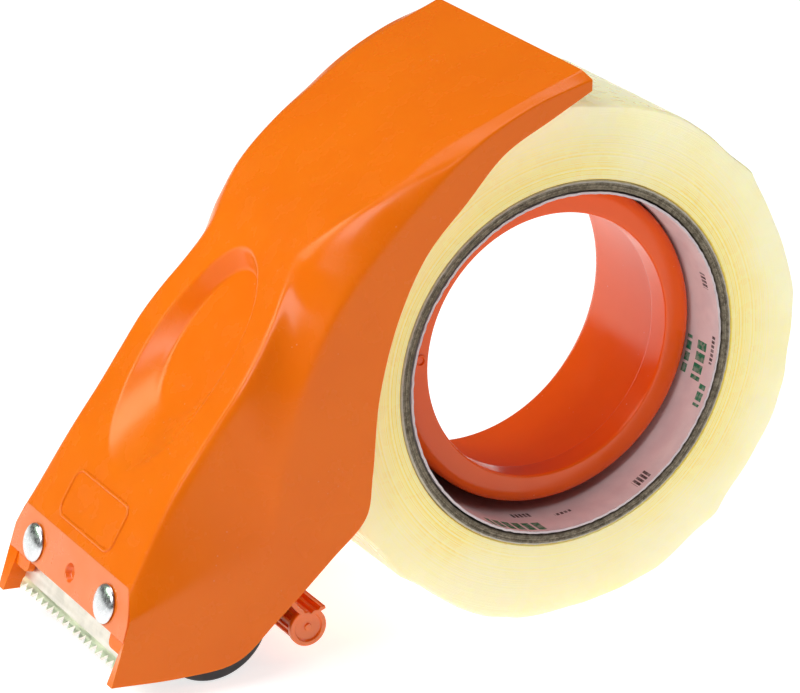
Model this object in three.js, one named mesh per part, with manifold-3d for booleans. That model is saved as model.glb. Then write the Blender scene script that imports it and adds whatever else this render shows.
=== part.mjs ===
// Hand-held packing-tape dispenser with a roll of clear tape on its hub. Millimetres, +Z up.
//
// Everything is drawn about the tape roll's axis, with the handle running up and to the rear.
// The finished part is then leaned so that it stands on the press roller and on the roll itself.
// -X is the blade end, -Y is the open side that the tape goes on from, +Y carries the hub.

import * as THREE from 'three';
import { mergeVertices } from 'three/addons/utils/BufferGeometryUtils.js';
import Module from 'manifold-3d';

const wasm = await Module();
wasm.setup();

// ---------------------------------------------------------------- driving sizes

const gap = 0.3;
const runningClearance = 0.3;
const cutMargin = 1;
const blindWall = 1.1;

// The roll: 48 mm tape on a 3 inch core.
const tapeWidth = 48;
const tapeHalf = tapeWidth / 2;
const rollRadius = 58.3;
const coreInnerRadius = 38.1;
const linerThickness = 0.5;
const coreWall = 2.9;
const coreOuterRadius = coreInnerRadius + coreWall;

// The hub is smaller than the core, and the core hangs off centre on it.
const hubPlay = 1.7;
const hubRadius = coreInnerRadius - hubPlay;
const hubOffset = { x: 0.8, z: 1.0 };
const hubRecess = 10;
const hubFaceWidth = 6.6;
const hubHoleRadius = hubRadius - hubFaceWidth;
const hubLipDepth = 6.5;
const hubFaceThickness = 2.5;
const hubEdgeRound = 4.6;
const hubWall = 2.4;
const hubDraft = 1.2;
const hubFlangeWidth = 9.6;
const hubFlangeRadius = hubRadius + hubFlangeWidth;
const hubLipWall = 2.2;
const hubLipEdge = 0.4;
const hubMouthFlare = 0.8;
const studFlangeInset = 2.8;
const studCircleRadius = hubFlangeRadius - studFlangeInset;
const studRadius = 1.9;
const studHeadRadius = 2.9;
const studHeadHeight = 0.9;
const studHeadChamfer = 0.6;
const studSeatDepth = 1.4;
const studAngles = [45, 135, 225, 315];
const gateMark = { radius: 1.3, height: 0.3, inset: 4.4, angle: 186 };

// The body shell.
const shellWall = 2.4;
const carrierRoom = 3.1;
const carrierInnerY = tapeHalf + carrierRoom;
const carrierRimWidth = 3.5;
const carrierRingRadius = hubFlangeRadius + carrierRimWidth;
const carrierSeatWidth = 6.8;
const carrierHoleRadius = hubFlangeRadius - carrierSeatWidth;
const ridgeInset = 0.7;
const frontRoom = 4.6;
const frontHalfWidth = tapeHalf + frontRoom;
const stepsPerStation = 3;

// Cross-sections from the blade end to the handle's tip. Each has the top panel's edge, the ridge
// where the flat side wall starts, and the side wall's free rim, as x and z, and how far the edge
// and the ridge lie beyond the tape's edge. A belly rounds the face between the two.
// They are drawn about a roll of the drawn radius, and a bigger roll moves them straight out.
const drawnRollRadius = 58.3;
const stations = [
  { top: [-98.0, -47.5, 1.5], ridge: [-98.3, -53.2, 4.6], rim: [-100.2, -67.9] },
  { top: [-91.4, -30.3, 0.3], ridge: [-84.0, -46.0, 4.8], rim: [-83.8, -66.1] },
  { top: [-86.0, -19.2, 0.2], ridge: [-72.8, -39.6, 5.0], rim: [-72.0, -63.0] },
  { top: [-82.2, -11.5, 0.5], ridge: [-69.6, -34.0, 5.1], rim: [-64.0, -54.0] },
  { top: [-78.6, -4.3, 0.6], ridge: [-69.0, -22.5, 5.3], rim: [-53.8, -40.9] },
  { top: [-75.2, 2.3, -0.6], ridge: [-67.7, -11.5, 5.4], rim: [-47.2, -31.6] },
  { top: [-72.0, 8.7, -2.8], ridge: [-66.2, -1.0, 5.5], rim: [-47.4, -22.5] },
  { top: [-69.6, 14.6, -5.1], ridge: [-63.9, 8.8, 5.6], rim: [-49.0, -5.0] },
  { top: [-67.0, 21.4, -6.6], ridge: [-59.3, 19.2, 6.0], rim: [-47.8, 12.0], belly: 1.6 },
  { top: [-62.6, 28.0, -4.4], ridge: [-53.6, 28.6, 6.5], rim: [-44.0, 26.0], belly: 2.4 },
  { top: [-54.5, 36.6, 0.4], ridge: [-46.0, 39.4, 7.2], rim: [-37.2, 37.4], belly: 1.2 },
  { top: [-43.1, 47.2, 2.6], ridge: [-38.0, 49.3, 7.8], rim: [-30.4, 48.2] },
  { top: [-29.5, 57.2, 4.6], ridge: [-25.8, 58.6, 8.2], rim: [-20.5, 56.2] },
  { top: [-14.4, 66.2, 5.8], ridge: [-13.1, 64.8, 8.6], rim: [-12.7, 62.4] },
];

// The oval thumb recess in the top panel: a flat floor, steep at the handle end and ramped in front.
const recessCentre = { x: -80.2, z: -6.8 };
const recessSlope = THREE.MathUtils.degToRad(64.7);
const recessReach = 2;
const recessRim = { length: 26.9, width: 15.8 };
const recessFloor = { length: 16.8, width: 11, shift: 6.4, depth: 3.6 };
const recessSides = 56;

// The plain raised frame on the top panel, ahead of the recess.
const frameCentre = 36.3;
const frameSize = { length: 10.5, width: 25, corner: 2.5, line: 0.7, height: 0.35 };

// The front panel and the blade riveted behind it, drawn from the panel's top edge and then leaned.
const panelTop = { x: -98.0, z: -47.5 };
const panelLean = THREE.MathUtils.degToRad(5.9);
const panelThickness = 3;
const panelHeight = 10.7;
const panelTopRoom = 1.5;
const panelShoulder = 5.8;
const panelOverlap = 0.3;
const rivetInset = 6.35;
const rivetSpacing = tapeWidth - 2 * rivetInset;
const rivetHeight = -6.2;
const rivetHeadRadius = 4.2;
const rivetHeadHeight = 1.4;
const rivetShankRadius = 2;
const rivetTailRadius = 3.1;
const rivetTailHeight = 1;
const rivetTailChamfer = 0.5;
const dimple = { radius: 2, depth: 1.5 };
const bladeThickness = 0.7;
const bladeOverlap = 0.3;
const bladeWidth = tapeWidth + 2 * bladeOverlap;
const bladeTopZ = -2;
const bladeBendZ = -16.3;
const bladeToothBend = THREE.MathUtils.degToRad(35);
const toothPitch = 2.7;
const toothRoot = 0.7;
const toothTip = 2.4;
const guardTab = { reach: 3.8, top: -10.2, bottom: -14.2, front: 1.4, back: 2.9, corner: 1.6 };

// The rubber press roller behind the blade.
const drawnPressCentre = { x: -75.4, z: -57.1 };
const pressRadius = 12.8;
const rubberThickness = 3.4;
const pressInset = 1;
const pressLength = tapeWidth - 2 * pressInset;
const pressCoreWall = 2.2;
const pressAxleRadius = 2.5;
const bushFlange = { radius: 8, thickness: 0.8 };
const bushDepth = 6;
const pressBossRadius = 5;
const rubberRound = 0.6;

// The ribbed guide roller on its stub axle.
const drawnGuideCentre = { x: -52.1, z: -59.0 };
const guideCapRadius = 4.3;
const guideCapThickness = 1.3;
const guideCapStub = 2.5;
const capFace = { depth: 0.5, pipRadius: 0.8, pipDepth: 0.1, rimInner: 1.3, rimOuter: 0.2 };
const guideSleeveRadius = 3.4;
const guideRibHeight = 0.6;
const guideRibWidth = 0.5;
const guideRibCount = 14;
const guideNearInset = 2;
const guideNearEnd = guideNearInset - tapeHalf;
const guideFarOverlap = 0.3;
const guideFarEnd = tapeHalf + guideFarOverlap;
const guideAxleRadius = 1.2;
const guideBore = guideAxleRadius + runningClearance;
const guideBossRadius = 4.1;

// The swinging guide flap, a ribbed trough that ends just above the guide roller.
const drawnFlapPivot = { x: -60.5, z: -43.5 };
const flapPinRadius = 1.5;
const flapHubRadius = 2.6;
const flapSideClearance = 0.4;
const flapHalfLength = frontHalfWidth - shellWall - flapSideClearance;
const flapSocketWall = 0.5;
const flapThickness = 0.9;
const flapRib = { height: 0.6, count: 6, steps: 6, pitch: 4, first: 12 };
const flapStart = 4;
const flapPath = [[-60.5, -43.5], [-61.3, -48.3], [-58.9, -52.3], [-54.9, -54.6], [-51.2, -52.8]];

const rollSides = 72;
const rollerSides = 36;
const pinSides = 16;

// The place of a point drawn about the drawn roll, for the roll that is fitted.
function movedOut(x, z) {
  const reach = Math.hypot(x, z);
  const ratio = (reach + rollRadius - drawnRollRadius) / reach;
  return [x * ratio, z * ratio];
}

function centreMovedOut({ x, z }) {
  const [movedX, movedZ] = movedOut(x, z);
  return { x: movedX, z: movedZ };
}

const pressCentre = centreMovedOut(drawnPressCentre);
const guideCentre = centreMovedOut(drawnGuideCentre);

// The flap ends just above the guide roller, so its points move as the roller does.
function withGuideRoller(x, z) {
  return { x: x + guideCentre.x - drawnGuideCentre.x, z: z + guideCentre.z - drawnGuideCentre.z };
}

const flapPivot = withGuideRoller(drawnFlapPivot.x, drawnFlapPivot.z);

// The lean that brings the press roller and the tape roll to the same level.
const axisSpacing = Math.hypot(pressCentre.x, pressCentre.z);
const lean = Math.atan2(-pressCentre.z, -pressCentre.x) - Math.asin((rollRadius - pressRadius) / axisSpacing);

// ---------------------------------------------------------------- tools

function meshVolume(geometry) {
  const p = geometry.attributes.position;
  const index = geometry.index.array;
  const [a, b, c] = [new THREE.Vector3(), new THREE.Vector3(), new THREE.Vector3()];
  let sum = 0;
  for (let i = 0; i < index.length; i += 3) {
    a.fromBufferAttribute(p, index[i]);
    b.fromBufferAttribute(p, index[i + 1]);
    c.fromBufferAttribute(p, index[i + 2]);
    sum += a.dot(b.cross(c)) / 6;
  }
  return sum;
}

function facingOut(source) {
  const bare = source.clone();
  bare.deleteAttribute('normal');
  bare.deleteAttribute('uv');
  const geometry = mergeVertices(bare, 1e-4);
  if (meshVolume(geometry) < 0) {
    const index = geometry.index.array;
    for (let i = 0; i < index.length; i += 3) {
      [index[i], index[i + 1]] = [index[i + 1], index[i]];
    }
  }
  return geometry;
}

function solid(source) {
  const geometry = facingOut(source);
  const mesh = new wasm.Mesh({
    numProp: 3,
    vertProperties: new Float32Array(geometry.attributes.position.array),
    triVerts: new Uint32Array(geometry.index.array),
  });
  return new wasm.Manifold(mesh);
}

function surfaceOf(body) {
  const mesh = body.getMesh();
  const geometry = new THREE.BufferGeometry();
  geometry.setAttribute('position', new THREE.BufferAttribute(new Float32Array(mesh.vertProperties), 3));
  geometry.setIndex(new THREE.BufferAttribute(new Uint32Array(mesh.triVerts), 1));
  return geometry;
}

// A ring or disc about an axle. The profile is [radius, y] and the phase leaves a corner at the floor.
function turned(profile, centre, sides) {
  const points = profile.map(([r, y]) => new THREE.Vector2(r, y));
  const geometry = new THREE.LatheGeometry(points, sides, -lean);
  return facingOut(geometry).translate(centre.x, 0, centre.z);
}

function ring(inner, outer, yMin, yMax, centre, sides) {
  const profile = [[inner, yMin], [outer, yMin], [outer, yMax], [inner, yMax], [inner, yMin]];
  return turned(profile, centre, sides);
}

function disc(radius, yMin, yMax, centre, sides) {
  return turned([[0, yMin], [radius, yMin], [radius, yMax], [0, yMax]], centre, sides);
}

// An outline in x and z, made into a plate between two y values.
function plate(outline, yMin, yMax) {
  const shape = new THREE.Shape(outline.map(([x, z]) => new THREE.Vector2(x, z)));
  const geometry = new THREE.ExtrudeGeometry(shape, { depth: yMax - yMin, bevelEnabled: false });
  return geometry.rotateX(Math.PI / 2).translate(0, yMax, 0);
}

function arc(cx, cz, radius, from, to, count) {
  const points = [];
  for (let i = 0; i <= count; i++) {
    const t = THREE.MathUtils.degToRad(from + (to - from) * i / count);
    points.push([cx + radius * Math.cos(t), cz + radius * Math.sin(t)]);
  }
  return points;
}

function lerp(a, b, t) {
  return a + (b - a) * t;
}

// ---------------------------------------------------------------- body shell

// One smooth line through the same corner of every station.
function stationLine(pick) {
  const points = stations.map((station) => new THREE.Vector3(...pick(station)));
  const curve = new THREE.CatmullRomCurve3(points, false, 'centripetal');
  const count = (stations.length - 1) * stepsPerStation;
  return Array.from({ length: count + 1 }, (_, i) => curve.getPoint(i / count));
}

// The direction from the top panel towards the roll, at each step along the panel.
function inwardNormals(line) {
  return line.map((_, i) => {
    const from = line[Math.max(i - 1, 0)];
    const to = line[Math.min(i + 1, line.length - 1)];
    const length = Math.hypot(to.x - from.x, to.y - from.y);
    return { x: (to.y - from.y) / length, z: -(to.x - from.x) / length };
  });
}

// Points across each station, from the near rim over the top to the far rim. The inner skin lies
// a wall's thickness inside the outer one.
function skinGrid(wall) {
  const corner = ([x, z], room) => [...movedOut(x, z), tapeHalf + room];
  const top = stationLine((s) => corner(s.top, s.top[2]));
  const ridge = stationLine((s) => corner(s.ridge, s.ridge[2]));
  const rim = stationLine((s) => corner(s.rim, s.ridge[2]));
  const belly = stationLine((s) => [s.belly ?? 0, 0, 0]);
  const inward = inwardNormals(top);
  return top.map((topPoint, i) => {
    const n = inward[i];
    const t = [topPoint.x + n.x * wall, topPoint.z - wall / 2, topPoint.y + n.z * wall];
    const r = [ridge[i].x + n.x * wall * ridgeInset, ridge[i].z - wall, ridge[i].y + n.z * wall * ridgeInset];
    const b = [rim[i].x, rim[i].z - wall, rim[i].y];
    const halfway = (from, to) => from.map((value, k) => lerp(value, to[k], 0.5));
    const face = halfway(r, t);
    face[0] -= n.x * belly[i].x;
    face[2] -= n.z * belly[i].x;
    const near = [b, halfway(b, r), r, face, t, [t[0], t[1] / 2, t[2]]];
    const far = near.map(([x, y, z]) => [x, -y, z]).reverse();
    const middle = [t[0], 0, t[2]];
    return [...near, middle, ...far].map(([x, y, z]) => new THREE.Vector3(x, -y, z));
  });
}

// The open shell as one closed body: outer skin, inner skin and the rim that joins them.
function shellSurface() {
  const outer = skinGrid(0);
  const inner = skinGrid(shellWall);
  const rows = outer.length;
  const columns = outer[0].length;
  const skins = [outer, inner];
  const vertices = skins.flatMap((skin) => skin.flatMap((row) => row.flatMap((p) => [p.x, p.y, p.z])));
  const at = (skin, i, j) => (skin * rows + i) * columns + j;
  const index = [];
  const quad = (a, b, c, d) => index.push(a, b, c, a, c, d);
  for (let i = 0; i + 1 < rows; i++) {
    for (let j = 0; j + 1 < columns; j++) {
      quad(at(0, i, j), at(0, i, j + 1), at(0, i + 1, j + 1), at(0, i + 1, j));
      quad(at(1, i, j), at(1, i + 1, j), at(1, i + 1, j + 1), at(1, i, j + 1));
    }
    quad(at(0, i, 0), at(0, i + 1, 0), at(1, i + 1, 0), at(1, i, 0));
    quad(at(0, i + 1, columns - 1), at(0, i, columns - 1), at(1, i, columns - 1), at(1, i + 1, columns - 1));
  }
  for (let j = 0; j + 1 < columns; j++) {
    quad(at(0, 0, j + 1), at(0, 0, j), at(1, 0, j), at(1, 0, j + 1));
    quad(at(0, rows - 1, j), at(0, rows - 1, j + 1), at(1, rows - 1, j + 1), at(1, rows - 1, j));
  }
  const geometry = new THREE.BufferGeometry();
  geometry.setAttribute('position', new THREE.Float32BufferAttribute(vertices, 3));
  geometry.setIndex(index);
  return geometry;
}

// A tapered oval plug in the recess's own frame, between two depths below the panel.
function ovalPlug(rim, floor, floorDepth, topDepth, shift) {
  const rings = [topDepth, floorDepth].map((depth) => {
    const t = depth / floorDepth;
    return {
      depth,
      length: lerp(rim.length, floor.length, t),
      width: lerp(rim.width, floor.width, t),
      shift: lerp(0, shift, t),
    };
  });
  const vertices = [];
  for (const loop of rings) {
    for (let i = 0; i < recessSides; i++) {
      const a = 2 * Math.PI * i / recessSides;
      vertices.push(loop.shift + loop.length * Math.cos(a), loop.width * Math.sin(a), -loop.depth);
    }
  }
  vertices.push(rings[0].shift, 0, -rings[0].depth, rings[1].shift, 0, -rings[1].depth);
  const index = [];
  for (let i = 0; i < recessSides; i++) {
    const n = (i + 1) % recessSides;
    index.push(i, recessSides + i, n, n, recessSides + i, recessSides + n);
    index.push(2 * recessSides, i, n);
    index.push(2 * recessSides + 1, recessSides + n, recessSides + i);
  }
  const geometry = new THREE.BufferGeometry();
  geometry.setAttribute('position', new THREE.Float32BufferAttribute(vertices, 3));
  geometry.setIndex(index);
  return geometry;
}

// Local x runs up the panel towards the handle and local z out of it. along is how far up the
// panel from the recess's middle the geometry's own middle goes.
function ontoTopPanel(geometry, along = 0) {
  const up = new THREE.Vector3(Math.cos(recessSlope), 0, Math.sin(recessSlope));
  const across = new THREE.Vector3(0, 1, 0);
  const out = up.clone().cross(across);
  const place = new THREE.Matrix4().makeBasis(up, across, out);
  const centre = centreMovedOut({ x: recessCentre.x + up.x * along, z: recessCentre.z + up.z * along });
  return geometry.applyMatrix4(place).translate(centre.x, 0, centre.z);
}

function recessWall() {
  const rim = { length: recessRim.length + shellWall / 2, width: recessRim.width + shellWall / 2 };
  const floor = { length: recessFloor.length + shellWall / 2, width: recessFloor.width + shellWall / 2 };
  const depth = recessFloor.depth + shellWall;
  return ontoTopPanel(ovalPlug(rim, floor, depth, shellWall * ridgeInset, recessFloor.shift));
}

function recessHollow() {
  const floor = { length: recessFloor.length, width: recessFloor.width };
  return ontoTopPanel(ovalPlug(recessRim, floor, recessFloor.depth, -recessReach, recessFloor.shift));
}

function roundedBox(length, width, corner, height) {
  const shape = new THREE.Shape();
  const [x, y] = [length / 2, width / 2];
  shape.absarc(x - corner, y - corner, corner, 0, Math.PI / 2);
  shape.absarc(-x + corner, y - corner, corner, Math.PI / 2, Math.PI);
  shape.absarc(-x + corner, -y + corner, corner, Math.PI, 1.5 * Math.PI);
  shape.absarc(x - corner, -y + corner, corner, 1.5 * Math.PI, 2 * Math.PI);
  return new THREE.ExtrudeGeometry(shape, { depth: height, bevelEnabled: false, curveSegments: 5 });
}

function raisedFrame() {
  const { length, width, corner, line, height } = frameSize;
  const outside = solid(roundedBox(length, width, corner, shellWall / 2 + height));
  const inside = roundedBox(length - 2 * line, width - 2 * line, corner - line, shellWall + height);
  const frame = outside.subtract(solid(inside.translate(0, 0, -shellWall / 4)));
  return ontoTopPanel(surfaceOf(frame).translate(0, 0, -shellWall / 2), -frameCentre);
}

// Local x is depth behind the panel's face, y across and z up from the panel's top edge.
function ontoFront(geometry) {
  const top = centreMovedOut(panelTop);
  return geometry.rotateY(panelLean).translate(top.x, 0, top.z);
}

function frontPlate(outline, front, back) {
  const shape = new THREE.Shape(outline.map(([y, z]) => new THREE.Vector2(y, z)));
  const geometry = new THREE.ExtrudeGeometry(shape, { depth: back - front, bevelEnabled: false });
  const turn = new THREE.Matrix4().set(0, 0, 1, front, 1, 0, 0, 0, 0, 1, 0, 0, 0, 0, 0, 1);
  return geometry.applyMatrix4(turn);
}

function frontTurned(profile, y, z) {
  const points = profile.map(([r, depth]) => new THREE.Vector2(r, depth));
  const geometry = new THREE.LatheGeometry(points, pinSides);
  return facingOut(geometry.rotateZ(-Math.PI / 2)).translate(0, y, z);
}

function rivetPlaces() {
  return [-rivetSpacing / 2, rivetSpacing / 2];
}

function frontPanel() {
  const topHalf = tapeHalf + panelTopRoom;
  const outline = [
    [-topHalf, panelOverlap], [-frontHalfWidth, -panelShoulder], [-frontHalfWidth, -panelHeight],
    [frontHalfWidth, -panelHeight], [frontHalfWidth, -panelShoulder], [topHalf, panelOverlap],
  ];
  return ontoFront(frontPlate(outline, 0, panelThickness));
}

function guardTabs() {
  const { reach, top, bottom, front, back, corner } = guardTab;
  const inner = tapeHalf - reach;
  const outer = frontHalfWidth - shellWall / 2;
  const outline = [
    [outer, top], [inner, top],
    ...arc(inner + corner, bottom + corner, corner, 180, 270, 5),
    [outer, bottom],
  ];
  const mirrored = outline.map(([y, z]) => [-y, z]);
  return [outline, mirrored].map((points) => ontoFront(frontPlate(points, front, back)));
}

function rivetHole(y) {
  const radius = rivetShankRadius + gap;
  const end = panelThickness + cutMargin;
  const profile = [[0, -cutMargin], [radius, -cutMargin], [radius, end], [0, end]];
  return ontoFront(frontTurned(profile, y, rivetHeight));
}

function panelDimple() {
  const { radius, depth } = dimple;
  const profile = [[0, -cutMargin], [radius, -cutMargin], [radius, depth], [0, depth]];
  return ontoFront(frontTurned(profile, 0, rivetHeight));
}

// The far side wall's extension: a web, the ring that carries the hub, and the guide roller's boss.
const webOutline = [
  [-66, -56.5], [-61, -63.5], [-46, -63], [-22, -43.5], [-22, 44],
  [-36.5, 39.5], [-46.5, 24], [-52, 0], [-56, -36],
];

function carrier() {
  const yMax = carrierInnerY + shellWall;
  const web = solid(plate(webOutline.map(([x, z]) => movedOut(x, z)), carrierInnerY, yMax));
  const rim = solid(disc(carrierRingRadius, carrierInnerY, yMax, hubOffset, rollSides));
  const bossFloor = guideFarEnd + 2 * gap;
  const boss = solid(disc(guideBossRadius, bossFloor, yMax, guideCentre, rollerSides));
  return web.add(rim).add(boss);
}

function studPlaces() {
  return studAngles.map((degrees) => {
    const t = THREE.MathUtils.degToRad(degrees);
    return { x: hubOffset.x + studCircleRadius * Math.cos(t), z: hubOffset.z + studCircleRadius * Math.sin(t) };
  });
}

function mirroredY(yMin, yMax) {
  return [[yMin, yMax], [-yMax, -yMin]];
}

const pressSocketFloor = frontHalfWidth - blindWall;
const pressBossFace = pressLength / 2 + gap + bushFlange.thickness + gap;
const flapSocketFloor = frontHalfWidth - flapSocketWall;
const studSeat = carrierInnerY + shellWall - studSeatDepth;
const guideSocketFloor = carrierInnerY + shellWall - blindWall;

function bodyShell() {
  let body = solid(shellSurface());
  body = body.add(solid(recessWall())).add(solid(frontPanel()));
  for (const tab of guardTabs()) {
    body = body.add(solid(tab));
  }
  for (const [yMin, yMax] of mirroredY(pressBossFace, frontHalfWidth - blindWall / 2)) {
    body = body.add(solid(disc(pressBossRadius, yMin, yMax, pressCentre, rollerSides)));
  }
  body = body.add(carrier()).add(solid(raisedFrame()));
  body = body.subtract(solid(recessHollow())).subtract(solid(panelDimple()));
  for (const y of rivetPlaces()) {
    body = body.subtract(solid(rivetHole(y)));
  }
  const axleHole = pressAxleRadius + runningClearance;
  for (const [yMin, yMax] of mirroredY(pressBossFace - cutMargin, pressSocketFloor)) {
    body = body.subtract(solid(disc(axleHole, yMin, yMax, pressCentre, pinSides)));
  }
  const pinHole = flapPinRadius + runningClearance;
  for (const [yMin, yMax] of mirroredY(flapHalfLength - cutMargin, flapSocketFloor)) {
    body = body.subtract(solid(disc(pinHole, yMin, yMax, flapPivot, pinSides)));
  }
  const carrierFront = carrierInnerY - cutMargin;
  const carrierBack = carrierInnerY + shellWall + cutMargin;
  body = body.subtract(solid(disc(carrierHoleRadius, carrierFront, carrierBack, hubOffset, rollSides)));
  for (const place of studPlaces()) {
    body = body.subtract(solid(disc(studRadius + gap, carrierFront, carrierBack, place, pinSides)));
    body = body.subtract(solid(disc(studHeadRadius + gap, studSeat, carrierBack, place, pinSides)));
  }
  const guideSocket = disc(guideBore, guideFarEnd, guideSocketFloor, guideCentre, pinSides);
  return surfaceOf(body.subtract(solid(guideSocket)));
}

// ---------------------------------------------------------------- hub

function tapeHub() {
  const near = -tapeHalf + hubRecess;
  const flangeNear = tapeHalf + 2 * gap;
  const flangeFar = carrierInnerY - gap;
  const mouth = hubRadius - hubWall + hubDraft;
  const lipWall = hubHoleRadius + hubLipWall;
  const round = arc(hubRadius - hubEdgeRound, near + hubEdgeRound, hubEdgeRound, 270, 360, 6);
  const profile = [
    [hubHoleRadius, near + hubLipEdge], [hubHoleRadius + hubLipEdge, near], ...round,
    [hubRadius, flangeNear], [hubFlangeRadius, flangeNear], [hubFlangeRadius, flangeFar],
    [mouth + flangeFar - flangeNear + hubMouthFlare, flangeFar], [mouth, flangeNear],
    [hubRadius - hubWall, near + hubFaceThickness], [lipWall, near + hubFaceThickness],
    [lipWall, near + hubLipDepth], [hubHoleRadius, near + hubLipDepth], [hubHoleRadius, near + hubLipEdge],
  ];
  let hub = solid(turned(profile, hubOffset, rollSides));
  const headBase = studSeat + gap;
  for (const place of studPlaces()) {
    const stud = [
      [0, flangeNear + cutMargin], [studRadius, flangeNear + cutMargin], [studRadius, headBase],
      [studHeadRadius, headBase], [studHeadRadius - studHeadChamfer, headBase + studHeadHeight],
      [0, headBase + studHeadHeight],
    ];
    hub = hub.add(solid(turned(stud, place, pinSides)));
  }
  const t = THREE.MathUtils.degToRad(gateMark.angle);
  const gateCircle = hubRadius - gateMark.inset;
  const gate = { x: hubOffset.x + gateCircle * Math.cos(t), z: hubOffset.z + gateCircle * Math.sin(t) };
  const gateFace = near - gateMark.height;
  hub = hub.add(solid(disc(gateMark.radius, gateFace, near + hubFaceThickness / 2, gate, pinSides)));
  return surfaceOf(hub);
}

// ---------------------------------------------------------------- blade and rivets

const bladeFront = panelThickness + gap;
const bladeBack = bladeFront + bladeThickness;

function blade() {
  const half = bladeWidth / 2;
  const flatOutline = [[-half, bladeTopZ], [-half, bladeBendZ], [half, bladeBendZ], [half, bladeTopZ]];
  let body = solid(frontPlate(flatOutline, bladeFront, bladeBack));
  const toothCount = Math.round(bladeWidth / toothPitch);
  const pitch = bladeWidth / toothCount;
  const comb = [[half, bladeThickness], [-half, bladeThickness]];
  for (let i = 0; i < toothCount; i++) {
    const start = -half + i * pitch;
    comb.push([start, -toothRoot], [start + pitch / 2, -toothTip]);
  }
  comb.push([half, -toothRoot]);
  const strip = frontPlate(comb, 0, bladeThickness);
  strip.rotateY(bladeToothBend).translate(bladeFront, 0, bladeBendZ);
  body = body.add(solid(strip));
  for (const y of rivetPlaces()) {
    const radius = rivetShankRadius + gap;
    const [start, end] = [bladeFront - cutMargin, bladeBack + cutMargin];
    const profile = [[0, start], [radius, start], [radius, end], [0, end]];
    body = body.subtract(solid(frontTurned(profile, y, rivetHeight)));
  }
  return ontoFront(surfaceOf(body));
}

function rivet(y) {
  const tail = bladeBack + gap;
  const dome = [];
  for (let i = 0; i <= 5; i++) {
    const t = Math.PI / 2 * i / 5;
    dome.push([rivetHeadRadius * Math.sin(t), -gap - rivetHeadHeight * Math.cos(t)]);
  }
  const profile = [
    ...dome, [rivetShankRadius, -gap], [rivetShankRadius, tail], [rivetTailRadius, tail],
    [rivetTailRadius - rivetTailChamfer, tail + rivetTailHeight], [0, tail + rivetTailHeight],
  ];
  return ontoFront(frontTurned(profile, y, rivetHeight));
}

// ---------------------------------------------------------------- press roller

const rubberInner = pressRadius - rubberThickness;
const coreOuter = rubberInner - gap;
const coreInner = coreOuter - pressCoreWall;
const pressHalf = pressLength / 2;

function pressRubber() {
  const round = rubberRound;
  const profile = [
    [rubberInner, -pressHalf], [pressRadius - round, -pressHalf], [pressRadius, -pressHalf + round],
    [pressRadius, pressHalf - round], [pressRadius - round, pressHalf], [rubberInner, pressHalf],
    [rubberInner, -pressHalf],
  ];
  return turned(profile, pressCentre, rollerSides);
}

function pressCore() {
  return ring(coreInner, coreOuter, -pressHalf, pressHalf, pressCentre, rollerSides);
}

function pressBush(side) {
  const bore = pressAxleRadius + runningClearance;
  const start = pressHalf + gap;
  const profile = [
    [bore, start + bushFlange.thickness], [bushFlange.radius, start + bushFlange.thickness],
    [bushFlange.radius, start], [coreInner - gap, start], [coreInner - gap, start - bushDepth],
    [bore, start - bushDepth], [bore, start + bushFlange.thickness],
  ];
  return turned(profile.map(([r, y]) => [r, side * y]), pressCentre, rollerSides);
}

function pressAxle() {
  const reach = pressSocketFloor - gap;
  return disc(pressAxleRadius, -reach, reach, pressCentre, pinSides);
}

// ---------------------------------------------------------------- guide roller and flap

function guideSleeve() {
  const near = guideNearEnd + guideCapThickness + gap;
  let sleeve = solid(ring(guideBore, guideSleeveRadius, near, guideFarEnd, guideCentre, rollerSides));
  const tip = guideSleeveRadius + guideRibHeight;
  for (let i = 0; i < guideRibCount; i++) {
    const root = guideSleeveRadius - guideRibHeight / 2;
    const half = guideRibWidth / 2;
    const outline = [[-half, root], [half, root], [half * 0.8, tip], [-half * 0.8, tip]];
    const rib = plate(outline, near, guideFarEnd).rotateY(2 * Math.PI * i / guideRibCount);
    sleeve = sleeve.add(solid(rib.translate(guideCentre.x, 0, guideCentre.z)));
  }
  return surfaceOf(sleeve);
}

function guideCap() {
  const { depth, pipRadius, pipDepth, rimInner, rimOuter } = capFace;
  const near = guideNearEnd;
  const back = near + guideCapThickness;
  const profile = [
    [0, near + pipDepth], [pipRadius, near + pipDepth], [pipRadius, near + depth],
    [guideCapRadius - rimInner, near + depth], [guideCapRadius - rimInner + rimOuter, near],
    [guideCapRadius - rimOuter, near], [guideCapRadius, near + rimOuter], [guideCapRadius, back],
    [guideAxleRadius, back], [guideAxleRadius, back + guideCapStub], [0, back + guideCapStub],
  ];
  return turned(profile, guideCentre, rollerSides);
}

function guideAxle() {
  const near = guideNearEnd + guideCapThickness + guideCapStub + gap;
  return disc(guideAxleRadius, near, guideSocketFloor - gap, guideCentre, pinSides);
}

// The trough's section: a bent strip with small ribs on its upper side and a round eye at the pivot.
function flapSection() {
  const points = flapPath.map(([x, z]) => {
    const moved = withGuideRoller(x, z);
    return new THREE.Vector3(moved.x, 0, moved.z);
  });
  const curve = new THREE.CatmullRomCurve3(points);
  const steps = flapRib.count * flapRib.steps;
  const upper = [];
  const lower = [];
  for (let i = flapStart; i <= steps; i++) {
    const t = i / steps;
    const p = curve.getPoint(t);
    const along = curve.getTangent(t);
    const out = { x: -along.z, z: along.x };
    const onRib = i % flapRib.pitch >= flapRib.pitch / 2 && i > flapRib.first && i < steps - 1;
    const lift = flapThickness / 2 + (onRib ? flapRib.height : 0);
    upper.push([p.x + out.x * lift, p.z + out.z * lift]);
    lower.push([p.x - out.x * flapThickness / 2, p.z - out.z * flapThickness / 2]);
  }
  return [...lower, ...upper.reverse()];
}

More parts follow.
